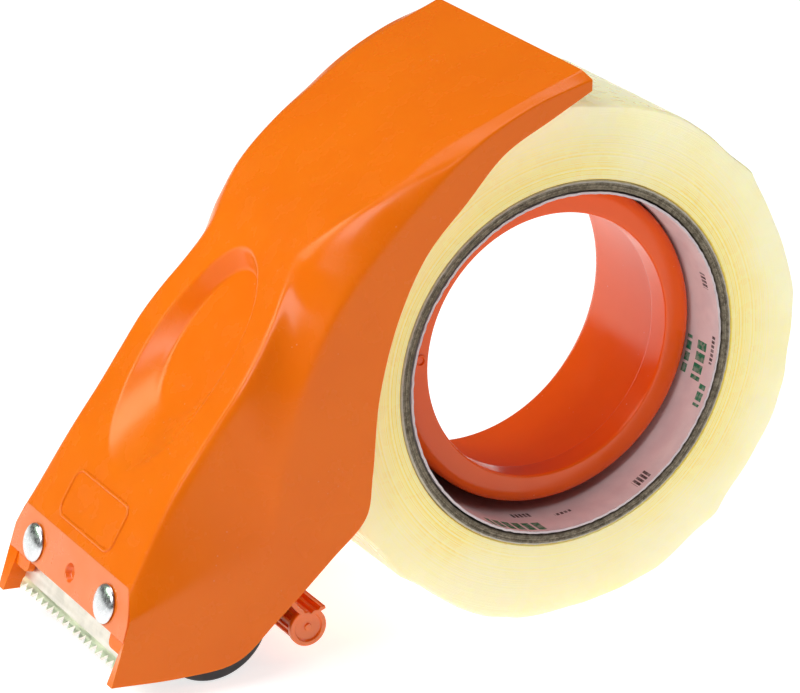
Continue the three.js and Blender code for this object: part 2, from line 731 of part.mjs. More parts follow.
function guideFlap() {
  const half = flapHalfLength;
  let flap = solid(plate(flapSection(), -half, half));
  flap = flap.add(solid(disc(flapHubRadius, -half, half, flapPivot, pinSides)));
  const reach = flapSocketFloor - gap;
  return surfaceOf(flap.add(solid(disc(flapPinRadius, -reach, reach, flapPivot, pinSides))));
}

// ---------------------------------------------------------------- tape roll

const rollCentre = { x: 0, z: 0 };

function coreLiner() {
  return ring(coreInnerRadius, coreInnerRadius + linerThickness, -tapeHalf, tapeHalf, rollCentre, rollSides);
}

function coreTube() {
  const inner = coreInnerRadius + linerThickness + gap;
  return ring(inner, coreOuterRadius, -tapeHalf, tapeHalf, rollCentre, rollSides);
}

function tapeWinding() {
  return ring(coreOuterRadius + gap, rollRadius, -tapeHalf, tapeHalf, rollCentre, rollSides);
}

// ---------------------------------------------------------------- the whole dispenser

const orange = { color: 0xf07a16, roughness: 0.3, metalness: 0 };
const steel = { color: 0xc9ccd0, roughness: 0.3, metalness: 1 };

const pieces = [
  ['body_shell', bodyShell(), orange],
  ['tape_hub', tapeHub(), { color: 0xd2501c, roughness: 0.3, metalness: 0 }],
  ['blade', blade(), steel],
  ['rivet_near', rivet(-rivetSpacing / 2), steel],
  ['rivet_far', rivet(rivetSpacing / 2), steel],
  ['press_roller_rubber', pressRubber(), { color: 0x35353a, roughness: 0.7, metalness: 0 }],
  ['press_roller_core', pressCore(), { color: 0xd8d8d2, roughness: 0.5, metalness: 0 }],
  ['press_roller_bush_near', pressBush(-1), { color: 0xe8e6de, roughness: 0.5, metalness: 0 }],
  ['press_roller_bush_far', pressBush(1), { color: 0xe8e6de, roughness: 0.5, metalness: 0 }],
  ['press_roller_axle', pressAxle(), steel],
  ['guide_roller_sleeve', guideSleeve(), { color: 0xd84f18, roughness: 0.3, metalness: 0 }],
  ['guide_roller_cap', guideCap(), { color: 0xe05a1c, roughness: 0.35, metalness: 0 }],
  ['guide_roller_axle', guideAxle(), steel],
  ['guide_flap', guideFlap(), { color: 0xe0551a, roughness: 0.3, metalness: 0 }],
  ['core_liner', coreLiner(), { color: 0xd2bcbe, roughness: 0.8, metalness: 0 }],
  ['core_tube', coreTube(), { color: 0x8d8067, roughness: 0.9, metalness: 0 }],
  ['tape_winding', tapeWinding(), { color: 0xf2dc8e, roughness: 0.25, metalness: 0 }],
];

// Leans the part onto its two rollers and centres it on the floor.
function seat(geometries) {
  const box = new THREE.Box3();
  for (const geometry of geometries) {
    geometry.rotateY(lean);
    geometry.computeBoundingBox();
    box.union(geometry.boundingBox);
  }
  const middle = box.getCenter(new THREE.Vector3());
  for (const geometry of geometries) {
    geometry.translate(-middle.x, -middle.y, -box.min.z);
  }
}

seat(pieces.map(([, geometry]) => geometry));

const dispenser = new THREE.Group();
dispenser.name = 'tape_dispenser';
for (const [name, geometry, look] of pieces) {
  geometry.computeVertexNormals();
  const mesh = new THREE.Mesh(geometry, new THREE.MeshStandardMaterial(look));
  mesh.name = name;
  dispenser.add(mesh);
}

export default dispenser;
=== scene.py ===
import math

import bmesh
import bpy
import numpy as np
from mathutils import Matrix, Vector


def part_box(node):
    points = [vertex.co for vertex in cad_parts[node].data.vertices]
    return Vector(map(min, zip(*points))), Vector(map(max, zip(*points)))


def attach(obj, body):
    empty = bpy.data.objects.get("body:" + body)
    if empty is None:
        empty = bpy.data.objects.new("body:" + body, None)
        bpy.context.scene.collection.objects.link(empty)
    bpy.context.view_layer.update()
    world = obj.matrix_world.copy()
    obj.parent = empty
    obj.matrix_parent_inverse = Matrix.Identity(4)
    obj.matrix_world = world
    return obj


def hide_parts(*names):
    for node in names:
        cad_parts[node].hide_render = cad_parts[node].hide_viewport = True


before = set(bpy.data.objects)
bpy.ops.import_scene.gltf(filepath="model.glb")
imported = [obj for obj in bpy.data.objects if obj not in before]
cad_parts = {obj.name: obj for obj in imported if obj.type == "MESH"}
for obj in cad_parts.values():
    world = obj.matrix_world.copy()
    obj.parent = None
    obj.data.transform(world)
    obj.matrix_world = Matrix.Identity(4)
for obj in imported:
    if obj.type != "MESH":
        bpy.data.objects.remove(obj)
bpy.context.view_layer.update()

MM = 0.001

# ------------------------------------------------------------------ where things are
# Shapes are drawn in millimetres about the roll's axis, as the CAD is, with x to the rear and z up,
# and then leaned onto the press roller and the roll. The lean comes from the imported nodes.

PRESS = (-75.4, -57.1)
GUIDE = (-52.1, -59.0)
FLAP_PIVOT = (-60.5, -43.5)
HUB = (0.8, 1.0)
ROLL = (0.0, 0.0)

TAPE_HALF = 24.0
ROLL_RADIUS = 58.3
CORE_BORE = 38.1
RIVET_OUT = 17.65
RIVET_DROP = 6.2
STUD_CIRCLE = 43.2
STUD_ANGLES = (45, 135, 225, 315)


def middle(node):
    low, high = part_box(node)
    return (Vector(low) + Vector(high)) / 2


roll_axis = middle("tape_winding")
press_axis = middle("press_roller_core")
lean = math.atan2(PRESS[1], PRESS[0]) - math.atan2(press_axis.z - roll_axis.z, press_axis.x - roll_axis.x)
COS, SIN = math.cos(lean), math.sin(lean)


def turn(v):
    """Directions from the drawing to the frame."""
    v = np.asarray(v, float)
    return np.stack([v[..., 0] * COS + v[..., 2] * SIN, v[..., 1], -v[..., 0] * SIN + v[..., 2] * COS], -1)


def place(v):
    """Points in drawing millimetres to frame metres."""
    return turn(v) * MM + np.array([roll_axis.x, 0, roll_axis.z])


# ------------------------------------------------------------------ camera, floor and light

def aim(obj, right, up, forward):
    r, u, f = (Vector(turn(a)).normalized() for a in (right, up, forward))
    obj.matrix_world = Matrix((
        (r.x, u.x, -f.x, 0), (r.y, u.y, -f.y, 0), (r.z, u.z, -f.z, 0), (0, 0, 0, 1)))


def make_camera():
    data = bpy.data.cameras.new("camera")
    cam = bpy.data.objects.new("camera", data)
    bpy.context.scene.collection.objects.link(cam)
    data.sensor_width = 36
    data.lens = 178.875
    data.clip_start, data.clip_end = 0.05, 20
    aim(cam, (0.8594, -0.4848, 0.1626), (0, 0.3180, 0.9481), (0.5113, 0.8148, -0.2733))
    cam.location = place((-464.0, -695.2, 229.3))
    bpy.context.scene.camera = cam


def area_light(name, spot, target, size, power, colour=(1, 1, 1)):
    data = bpy.data.lights.new(name, "AREA")
    data.shape = "RECTANGLE"
    data.size, data.size_y = size
    data.energy = power
    data.color = colour
    obj = bpy.data.objects.new(name, data)
    bpy.context.scene.collection.objects.link(obj)
    obj.location = spot
    obj.rotation_mode = "QUATERNION"
    obj.rotation_quaternion = (Vector(target) - Vector(spot)).to_track_quat("-Z", "Y")


def make_studio():
    area_light("key", (-0.72, -0.26, 0.74), (-0.02, 0, 0.06), (0.46, 0.46), 4.6)
    area_light("rear_left", (-0.85, 0.55, 0.85), (-0.02, 0, 0.06), (0.6, 0.5), 5.6, (0.86, 1.22, 0.82))
    area_light("overhead", (0.0, 0.25, 1.05), (0, 0.2, 0), (0.8, 0.5), 3.5)
    area_light("right", (0.85, -0.25, 0.55), (0.02, 0, 0.06), (0.3, 0.5), 1.2)
    world = bpy.data.worlds.new("studio")
    bpy.context.scene.world = world
    world.use_nodes = True
    world.node_tree.nodes["Background"].inputs["Color"].default_value = (1.0, 0.985, 0.97, 1)
    world.node_tree.nodes["Background"].inputs["Strength"].default_value = 0.08
    bpy.context.scene.view_settings.view_transform = "Standard"
    mesh = bpy.data.meshes.new("floor")
    reach = 8.0
    corners = [(-reach, -reach, 0), (reach, -reach, 0), (reach, reach, 0), (-reach, reach, 0)]
    mesh.from_pydata(corners, [], [(0, 1, 2, 3)])
    floor = bpy.data.objects.new("floor", mesh)
    bpy.context.scene.collection.objects.link(floor)
    floor.location.z = -0.0003
    mesh.materials.append(floor_material())


# ------------------------------------------------------------------ materials

class Nodes:
    """A small helper that wires a material's nodes."""

    def __init__(self, name):
        self.material = bpy.data.materials.new(name)
        self.material.use_nodes = True
        self.tree = self.material.node_tree
        self.shader = self.tree.nodes["Principled BSDF"]
        self.object = self.add("ShaderNodeTexCoord").outputs["Object"]

    def add(self, kind, **inputs):
        node = self.tree.nodes.new(kind)
        for key, value in inputs.items():
            self.put(node.inputs[key.replace("_", " ")], value)
        return node

    def put(self, socket, value):
        if hasattr(value, "is_output"):
            self.tree.links.new(value, socket)
        else:
            socket.default_value = value

    def set(self, key, value):
        self.put(self.shader.inputs[key], value)

    def uv(self):
        return self.tree.nodes["Texture Coordinate"].outputs["UV"]

    def stretched(self, vector, scale):
        node = self.add("ShaderNodeMapping", Vector=vector)
        node.inputs["Scale"].default_value = scale
        return node.outputs["Vector"]

    def noise(self, scale, detail=2.0, vector=None, rough=0.5):
        place_in = vector or self.object
        node = self.add("ShaderNodeTexNoise", Vector=place_in, Scale=scale, Detail=detail, Roughness=rough)
        return node.outputs["Fac"]

    def cells(self, scale):
        return self.add("ShaderNodeTexVoronoi", Vector=self.object, Scale=scale).outputs["Distance"]

    def span(self, value, low, high, to_low, to_high):
        node = self.tree.nodes.new("ShaderNodeMapRange")
        node.interpolation_type = "SMOOTHSTEP"
        for socket, v in zip(node.inputs, (value, low, high, to_low, to_high)):
            self.put(socket, v)
        return node.outputs["Result"]

    def math(self, kind, a, b=0.0):
        node = self.tree.nodes.new("ShaderNodeMath")
        node.operation = kind
        self.put(node.inputs[0], a)
        self.put(node.inputs[1], b)
        return node.outputs[0]

    def mix(self, factor, a, b):
        node = self.tree.nodes.new("ShaderNodeMix")
        node.data_type = "RGBA"
        self.put(node.inputs["Factor"], factor)
        for socket, colour in ((node.inputs[6], a), (node.inputs[7], b)):
            self.put(socket, colour if hasattr(colour, "is_output") else (*colour, 1))
        return node.outputs[2]

    def bump(self, height, strength, distance, below=None):
        node = self.add("ShaderNodeBump", Height=height, Strength=strength, Distance=distance)
        if below is not None:
            self.put(node.inputs["Normal"], below)
        return node.outputs["Normal"]


def floor_material():
    n = Nodes("floor")
    n.set("Base Color", n.mix(n.noise(6.0), (0.60, 0.60, 0.595), (0.64, 0.64, 0.635)))
    n.set("Roughness", 0.9)
    n.set("Specular IOR Level", 0.1)
    n.set("Emission Color", (1, 1, 1, 1))
    n.set("Emission Strength", 0.74)
    return n.material


def moulded(name, base, deep, rough=0.24, glow=0.12, shine=0.24):
    """Glossy moulded plastic with faint flow marks, dust specks and fine scuffs."""
    n = Nodes(name)
    flow = n.span(n.noise(38, 3), 0.3, 0.7, 0, 1)
    colour = n.mix(flow, base, deep)
    dust = n.span(n.cells(520), 0.0, 0.13, 1, 0)
    sparse = n.span(n.noise(75, 1), 0.56, 0.66, 0, 1)
    speck = n.math("MULTIPLY", dust, sparse)
    colour = n.mix(n.math("MULTIPLY", speck, 0.6), colour, tuple(min(1, c + 0.3) for c in base))
    n.set("Base Color", colour)
    n.set("Roughness", n.span(n.noise(160, 4), 0.3, 0.75, rough * 0.8, rough * 1.35))
    n.set("Subsurface Weight", glow)
    n.set("Subsurface Radius", (1.0, 0.35, 0.08))
    n.set("Subsurface Scale", 0.0025)
    n.set("Specular IOR Level", shine)
    fine = n.bump(n.noise(2200, 2), 0.05, 0.00003)
    scuff = n.noise(500, 3, n.stretched(n.object, (1, 1, 0.12)))
    n.set("Normal", n.bump(scuff, 0.05, 0.00004, n.bump(speck, 0.3, 0.00006, fine)))
    return n.material


def metal(name, base, rough, stretch=(1, 1, 1), scale=900, grain=0.12):
    n = Nodes(name)
    lines = n.noise(scale, 4, n.stretched(n.object, stretch), 0.65)
    n.set("Base Color", n.mix(n.span(n.noise(260, 3), 0.35, 0.7, 0, 1), base, tuple(c * 0.86 for c in base)))
    n.set("Metallic", 1.0)
    n.set("Roughness", n.span(lines, 0.3, 0.75, rough * 0.75, rough * 1.5))
    n.set("Normal", n.bump(lines, grain, 0.00003))
    return n.material


def dull(name, base, rough, grain=0.3, scale=1400, varied=0.82):
    n = Nodes(name)
    patch = n.span(n.noise(140, 4), 0.3, 0.7, 0, 1)
    n.set("Base Color", n.mix(patch, base, tuple(c * varied for c in base)))
    n.set("Roughness", n.span(n.noise(300, 3), 0.3, 0.7, rough * 0.85, min(1, rough * 1.15)))
    n.set("Normal", n.bump(n.noise(scale, 3), grain, 0.00005))
    return n.material


def turns_of(n, scale):
    """The distance from the roll's axis, and a noise of it alone that draws rings."""
    offset = n.add("ShaderNodeVectorMath", Vector=n.object)
    offset.operation = "SUBTRACT"
    offset.inputs[1].default_value = tuple(roll_axis)
    flat = n.tree.nodes.new("ShaderNodeVectorMath")
    flat.operation = "MULTIPLY"
    n.put(flat.inputs[0], offset.outputs[0])
    flat.inputs[1].default_value = (1, 0, 1)
    length = n.tree.nodes.new("ShaderNodeVectorMath")
    length.operation = "LENGTH"
    n.put(length.inputs[0], flat.outputs[0])
    rings = n.tree.nodes.new("ShaderNodeTexNoise")
    rings.noise_dimensions = "1D"
    n.put(rings.inputs["W"], length.outputs["Value"])
    rings.inputs["Scale"].default_value = scale
    rings.inputs["Detail"].default_value = 4
    rings.inputs["Roughness"].default_value = 0.7
    return length.outputs["Value"], rings.outputs["Fac"]


def film_material():
    """Wound clear film: pale yellow, deeper towards the core, with fine turns, soft amber streaks of painted
    shade and sheen, whiter patches of painted sheen, and a faint painted glow.
    """
    n = Nodes("tape_film")
    radius, turns = turns_of(n, 2600)
    sheen_streaks = n.noise(70, 3)
    depth = n.span(radius, 0.041, 0.0585, 0, 1)
    colour = n.mix(depth, (0.97, 0.70, 0.09), (1.0, 0.95, 0.72))
    colour = n.mix(n.span(turns, 0.4, 0.62, 0, 0.75), colour, (0.98, 0.93, 0.70))
    # Soft amber streaks: painted shade and sheen across the roll's face.
    colour = n.mix(n.span(sheen_streaks, 0.45, 0.75, 0, 0.35), colour, (0.95, 0.76, 0.30))
    # Whiter patches: painted sheen.
    sheen_patches = n.noise(22, 2)
    colour = n.mix(n.span(sheen_patches, 0.5, 0.68, 0, 0.55), colour, (0.99, 0.95, 0.76))
    n.set("Base Color", colour)
    n.set("Roughness", n.span(n.noise(300, 3), 0.3, 0.7, 0.2, 0.4))
    n.set("Subsurface Weight", 0.6)
    n.set("Subsurface Radius", (1.0, 0.75, 0.3))
    n.set("Subsurface Scale", 0.006)
    # Emission makes the film glow faintly yellow: painted light, not a lamp.
    n.set("Emission Color", (1.0, 0.80, 0.25, 1))
    n.set("Emission Strength", 0.22)
    n.set("Normal", n.bump(sheen_streaks, 0.3, 0.0007, n.bump(turns, 0.5, 0.0001)))
    return n.material


def board_material():
    """Grey-brown layered board, cut rough at the ends."""
    n = Nodes("core_board")
    fibre = n.noise(900, 5, None, 0.7)
    radius, layers = turns_of(n, 5200)
    colour = n.mix(n.span(fibre, 0.35, 0.65, 0, 1), (0.19, 0.155, 0.11), (0.46, 0.39, 0.29))
    colour = n.mix(n.span(layers, 0.44, 0.56, 0.75, 0), colour, (0.05, 0.04, 0.03))
    colour = n.mix(n.span(radius, 0.0404, 0.0408, 0, 0.7), colour, (0.78, 0.74, 0.66))
    n.set("Base Color", colour)
    n.set("Roughness", 0.95)
    n.set("Specular IOR Level", 0.15)
    n.set("Normal", n.bump(fibre, 0.8, 0.0003))
    return n.material


def liner_material():
    """Pale pink paper with plain green bars and a few grey dashes. u runs round it and v along it."""
    n = Nodes("liner_paper")
    split = n.add("ShaderNodeSeparateXYZ", Vector=n.uv())
    u, v = split.outputs["X"], split.outputs["Y"]
    faded = n.span(n.noise(900, 3), 0.35, 0.6, 0.7, 1)
    ink = bars(n, (2.6, 9.0), 0.26)
    green = patches(n, u, v, GREEN_PATCHES)
    dash = patches(n, u, v, GREY_DASHES)
    green = n.math("MULTIPLY", n.math("MULTIPLY", green, ink), faded)
    dash = n.math("MULTIPLY", n.math("MULTIPLY", dash, bars(n, (1.0, 6.0), 0.34)), faded)
    paper = n.mix(n.span(n.noise(200, 4), 0.3, 0.7, 0, 1), (0.78, 0.68, 0.70), (0.70, 0.60, 0.63))
    printed = n.mix(green, paper, (0.005, 0.19, 0.09))
    n.set("Base Color", n.mix(dash, printed, (0.06, 0.045, 0.05)))
    n.set("Roughness", 0.75)
    n.set("Normal", n.bump(n.noise(1500, 3), 0.35, 0.0001))
    return n.material


# Each patch's middle and half length in degrees round the core, and its reach from the near edge in mm.
GREEN_PATCHES = [(-6, 11, 4.5, 12.0), (-11, 5, 1.4, 3.8), (-96, 11, 1.2, 5.6)]
GREY_DASHES = [
    (4, 5, 1.4, 2.6), (-46, 3.2, 1.6, 4.6), (-74, 3.0, 6.0, 8.0), (-88, 3.6, 9.0, 11.0), (28, 3.0, 3.0, 6.5),
]


def patches(n, u, v, places):
    """1 inside any of the patches."""
    total = None
    for angle, half_angle, first, last in places:
        patch = n.math("MULTIPLY", within(n, u, angle, half_angle), band(n, v, first, last))
        total = patch if total is None else n.math("MAXIMUM", total, patch)
    return total


def within(n, u, angle, half_angle):
    """1 within a stretch of the core's circumference. u is the distance round it in metres."""
    radius = CORE_BORE * MM
    start = math.radians(angle) + lean
    middle_u = (start % (2 * math.pi)) * radius
    away = n.math("ABSOLUTE", n.math("SUBTRACT", u, middle_u))
    reach = math.radians(half_angle) * radius
    return n.span(away, reach - 0.0001, reach + 0.0001, 1, 0)


def band(n, v, first, last):
    above = n.span(v, first * MM - 0.0001, first * MM + 0.0001, 0, 1)
    return n.math("MULTIPLY", above, n.span(v, last * MM - 0.0001, last * MM + 0.0001, 1, 0))


def bars(n, size, gap):
    """Plain bars of a size in mm, with a gap as a share of them."""
    node = n.tree.nodes.new("ShaderNodeTexBrick")
    node.offset, node.squash = 0.5, 1.0
    n.put(node.inputs["Vector"], n.stretched(n.uv(), (1 / (size[0] * MM), 1 / (size[1] * MM), 1)))
    for key, value in (("Scale", 1.0), ("Mortar Size", gap / 2), ("Mortar Smooth", 0.1), ("Bias", 0.0),
                       ("Brick Width", 1.0), ("Row Height", 1.0)):
        node.inputs[key].default_value = value
    node.inputs["Color1"].default_value = node.inputs["Color2"].default_value = (1, 1, 1, 1)
    node.inputs["Mortar"].default_value = (0, 0, 0, 1)
    return node.outputs["Color"]


# ------------------------------------------------------------------ mesh tools

def add_object(name, mesh, body, material, stands_for=()):
    obj = bpy.data.objects.new(name, mesh)
    bpy.context.scene.collection.objects.link(obj)
    if material is not None:
        mesh.materials.append(material)
    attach(obj, body)
    if stands_for:
        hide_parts(*stands_for)
    return obj


def face_out(mesh):
    bm = bmesh.new()
    bm.from_mesh(mesh)
    bmesh.ops.recalc_face_normals(bm, faces=bm.faces)
    bm.to_mesh(mesh)
    bm.free()


def mesh_of(name, points, faces):
    mesh = bpy.data.meshes.new(name)
    mesh.from_pydata([tuple(p) for p in points], [], faces)
    face_out(mesh)
    return mesh


def smooth(mesh, degrees=38):
    mesh.shade_smooth()
    mesh.set_sharp_from_angle(angle=math.radians(degrees))


def rounded(obj, width, segments=3, degrees=32):
    """Rounds an object's sharp edges and keeps its flats flat."""
    bevel = obj.modifiers.new("round", "BEVEL")
    bevel.width = width * MM
    bevel.segments = segments
    bevel.limit_method = "ANGLE"
    bevel.angle_limit = math.radians(degrees)
    bevel.use_clamp_overlap = True
    normals = obj.modifiers.new("flats", "WEIGHTED_NORMAL")
    normals.keep_sharp = True
    smooth(obj.data, 180)
    return obj


def fillet(points, radius, steps=5, closed=True):
    """Rounds the corners of an outline of 2D points. A radius may be given for each corner."""
    points = [np.asarray(p, float) for p in points]
    count = len(points)
    radii = radius if hasattr(radius, "__len__") else [radius] * count
    out = []
    for i, p in enumerate(points):
        if not closed and i in (0, count - 1):
            out.append(p)
            continue
        a, b = points[i - 1] - p, points[(i + 1) % count] - p
        la, lb = np.linalg.norm(a), np.linalg.norm(b)
        reach = min(radii[i], la * 0.45, lb * 0.45)
        straight = abs(np.dot(a, b) / (la * lb) + 1) < 0.004
        if reach < 1e-4 or straight:
            out.append(p)
            continue
        start, end = p + a / la * reach, p + b / lb * reach
        for k in range(steps + 1):
            t = k / steps
            out.append((1 - t) ** 2 * start + 2 * t * (1 - t) * p + t * t * end)
    return out


def lathe(name, profile, axis, sides=128, warp=None, closed=None):
    """Turns a profile of [radius, y] about an axle. warp(angle, r, y) may return changed r and y."""
    closed = profile[0][0] > 1e-6 if closed is None else closed
    profile = np.array(profile, float)
    angles = np.linspace(0, 2 * math.pi, sides, endpoint=False) - lean
    run = np.concatenate([[0], np.cumsum(np.hypot(*np.diff(profile, axis=0).T))])
    points, rings, far = [], [], []
    for (r, y), along in zip(profile, run):
        if r < 1e-6:
            rings.append([len(points)])
            points.append((axis[0], y, axis[1]))
            far.append(along)
            continue
        start = len(points)
        rr, yy = np.full(sides, r), np.full(sides, y)
        if warp is not None:
            rr, yy = warp(angles + lean, rr, yy)
        for k in range(sides):
            x, z = rr[k] * math.cos(angles[k]), rr[k] * math.sin(angles[k])
            points.append((axis[0] + x, yy[k], axis[1] + z))
            far.append(along)
        rings.append(list(range(start, start + sides)))
    faces, corners = [], []
    pairs = list(zip(range(len(rings) - 1), range(1, len(rings))))
    if closed:
        pairs.append((len(rings) - 1, 0))
    for i, j in pairs:
        a, b = rings[i], rings[j]
        for k in range(sides):
            n = (k + 1) % sides
            quad = [a[k % len(a)], a[n % len(a)], b[n % len(b)], b[k % len(b)]]
            ids = list(dict.fromkeys(quad))
            if len(ids) < 3:
                continue
            faces.append(ids)
            u = {quad[0]: k, quad[1]: k + 1, quad[2]: k + 1, quad[3]: k}
            corners.append([(u[v] / sides * 2 * math.pi * profile[i][0] * MM, far[v] * MM) for v in ids])
    mesh = bpy.data.meshes.new(name)
    mesh.from_pydata([tuple(p) for p in place(np.array(points))], [], faces)
    layer = mesh.uv_layers.new(name="around")
    flat = [c for face in corners for c in face]
    layer.data.foreach_set("uv", np.array(flat, np.float32).ravel())
    face_out(mesh)
    smooth(mesh)
    return mesh


def prism(name, outline, low, high, onto):
    """An outline of 2D points, made solid between two heights and carried over by onto(points)."""
    count = len(outline)
    flat = np.array(outline, float)
    points = np.concatenate([np.c_[flat, np.full(count, low)], np.c_[flat, np.full(count, high)]])
    faces = [list(range(count))[::-1], list(range(count, 2 * count))]
    faces += [[i, (i + 1) % count, count + (i + 1) % count, count + i] for i in range(count)]
    return mesh_of(name, onto(points), faces)


def along_y(points):
    """Outline in x and z, height along y."""
    return place(np.stack([points[:, 0], points[:, 2], points[:, 1]], -1))


PANEL_TOP = (-98.0, -47.5)
PANEL_LEAN = math.radians(5.9)


def panel_point(depth, y, z):
    """Depth behind the front panel's face, y across it and z up from its top edge."""
    c, s = math.cos(PANEL_LEAN), math.sin(PANEL_LEAN)
    return np.stack([depth * c + z * s + PANEL_TOP[0], y, -depth * s + z * c + PANEL_TOP[1]], -1)


def behind_panel(points):
    return place(panel_point(points[:, 2], points[:, 0], points[:, 1]))


def combine(base, others, operation):
    """Joins others to a base object or cuts them from it, and leaves one plain mesh."""
    for other in others:
        modifier = base.modifiers.new("with", "BOOLEAN")
        modifier.object = other
        modifier.operation = operation
        modifier.solver = "EXACT"
    bake(base)
    for other in others:
        bpy.data.objects.remove(other)


def bake(obj):
    depsgraph = bpy.context.evaluated_depsgraph_get()
    mesh = bpy.data.meshes.new_from_object(obj.evaluated_get(depsgraph))
    obj.modifiers.clear()
    obj.data = mesh


def loose(mesh):
    obj = bpy.data.objects.new(mesh.name, mesh)
    bpy.context.scene.collection.objects.link(obj)
    return obj


def curve_points(points, at):
    """Centripetal Catmull-Rom curve through points, at places from 0 to 1 of its length in spans."""
    points = np.asarray(points, float)
    ends = [2 * points[0] - points[1], *points, 2 * points[-1] - points[-2]]
    spans = len(points) - 1
    out = []
    for t in at:
        i = min(int(t * spans), spans - 1)
        w = t * spans - i
        p0, p1, p2, p3 = ends[i:i + 4]
        d0, d1, d2 = (max(np.linalg.norm(b - a) ** 0.5, 1e-4) for a, b in ((p0, p1), (p1, p2), (p2, p3)))
        t1 = ((p1 - p0) / d0 - (p2 - p0) / (d0 + d1) + (p2 - p1) / d1) * d1
        t2 = ((p2 - p1) / d1 - (p3 - p1) / (d1 + d2) + (p3 - p2) / d2) * d1
        c2, c3 = -3 * p1 + 3 * p2 - 2 * t1 - t2, 2 * p1 - 2 * p2 + t1 + t2
        out.append(p1 + t1 * w + c2 * w * w + c3 * w ** 3)
    return np.array(out)


# ------------------------------------------------------------------ body

WALL = 2.4
# Each station: the top panel's edge (x, z, half width), the ridge (x, z, half width), the free
# rim (x, z) and how far the face between the top edge and the ridge stands out.
STATIONS = [
    ((-98.0, -47.5, 25.5), (-98.3, -53.2, 28.6), (-100.2, -67.9), 0),
    ((-91.4, -30.3, 24.3), (-84.0, -46.0, 28.8), (-83.8, -66.1), 0),
    ((-86.0, -19.2, 24.2), (-72.8, -39.6, 29.0), (-72.0, -63.0), 0),
    ((-82.2, -11.5, 24.5), (-69.6, -34.0, 29.1), (-64.0, -54.0), 0),
    ((-78.6, -4.3, 24.6), (-69.0, -22.5, 29.3), (-53.8, -40.9), 0),
    ((-75.2, 2.3, 23.4), (-67.7, -11.5, 29.4), (-47.2, -31.6), 0),
    ((-72.0, 8.7, 21.2), (-66.2, -1.0, 29.5), (-47.4, -22.5), 0),
    ((-69.6, 14.6, 18.9), (-63.9, 8.8, 29.6), (-49.0, -5.0), 0),
    ((-67.0, 21.4, 17.4), (-59.3, 19.2, 30.0), (-47.8, 12.0), 1.6),
    ((-62.6, 28.0, 19.6), (-53.6, 28.6, 30.5), (-44.0, 26.0), 2.4),
    ((-54.5, 36.6, 24.4), (-46.0, 39.4, 31.2), (-37.2, 37.4), 1.2),
    ((-43.1, 47.2, 26.6), (-38.0, 49.3, 31.8), (-30.4, 48.2), 0),
    ((-29.5, 57.2, 28.6), (-25.8, 58.6, 32.2), (-20.5, 56.2), 0),
    ((-14.4, 66.2, 29.8), (-13.1, 64.8, 32.6), (-12.7, 62.4), 0),
]
RECESS_CENTRE = (-80.2, -6.8)
RECESS_SLOPE = math.radians(64.7)
RECESS_RIM = (26.9, 15.8)
RECESS_FLOOR = (16.8, 11.0)
RECESS_SHIFT = 6.4
RECESS_DEPTH = 3.6
FRAME_CENTRE = 36.3
FRAME_SIZE = (10.5, 25.0, 2.5)


def row_places():
    """Places along the stations, about half a millimetre apart, with a wider step at each end."""
    top = [s[0] for s in STATIONS]
    spans = len(STATIONS) - 1
    places = []
    for i in range(spans):
        length = math.dist(top[i], top[i + 1])
        count = max(8, round(length / 0.55))
        places += [(i + k / count) / spans for k in range(count)]
    places.append(1.0)
    return np.array([places[0], *places[3:-3], places[-1]])


def recess_depth(points):
    """Depth of the thumb recess at points near the top panel."""
    up = np.array([math.cos(RECESS_SLOPE), math.sin(RECESS_SLOPE)])
    offset = points[..., [0, 2]] - np.array(RECESS_CENTRE)
    s = offset @ up
    y = points[..., 1]
    low, high = np.zeros(s.shape), np.ones(s.shape)

    def inside(t):
        length = RECESS_RIM[0] + (RECESS_FLOOR[0] - RECESS_RIM[0]) * t
        width = RECESS_RIM[1] + (RECESS_FLOOR[1] - RECESS_RIM[1]) * t
        return ((s - RECESS_SHIFT * t) / length) ** 2 + (y / width) ** 2 <= 1
    for _ in range(18):
        t = (low + high) / 2
        hit = inside(t)
        low, high = np.where(hit, t, low), np.where(hit, high, t)
    t = np.where(inside(np.zeros(s.shape)), low, 0)
    edge, floor = 0.06, 0.16
    ramp = np.where(t < edge, t * t / (2 * edge), t - edge / 2)
    end = 1 - edge / 2
    near = end - floor
    soft = near + floor * (1 - np.exp(-(ramp - near) / floor * 1.6)) / (1 - math.exp(-1.6)) * 0.9
    ramp = np.where(ramp > near, np.minimum(soft, end), ramp)
    return RECESS_DEPTH * np.clip(ramp / (near + floor * 0.9), 0, 1)


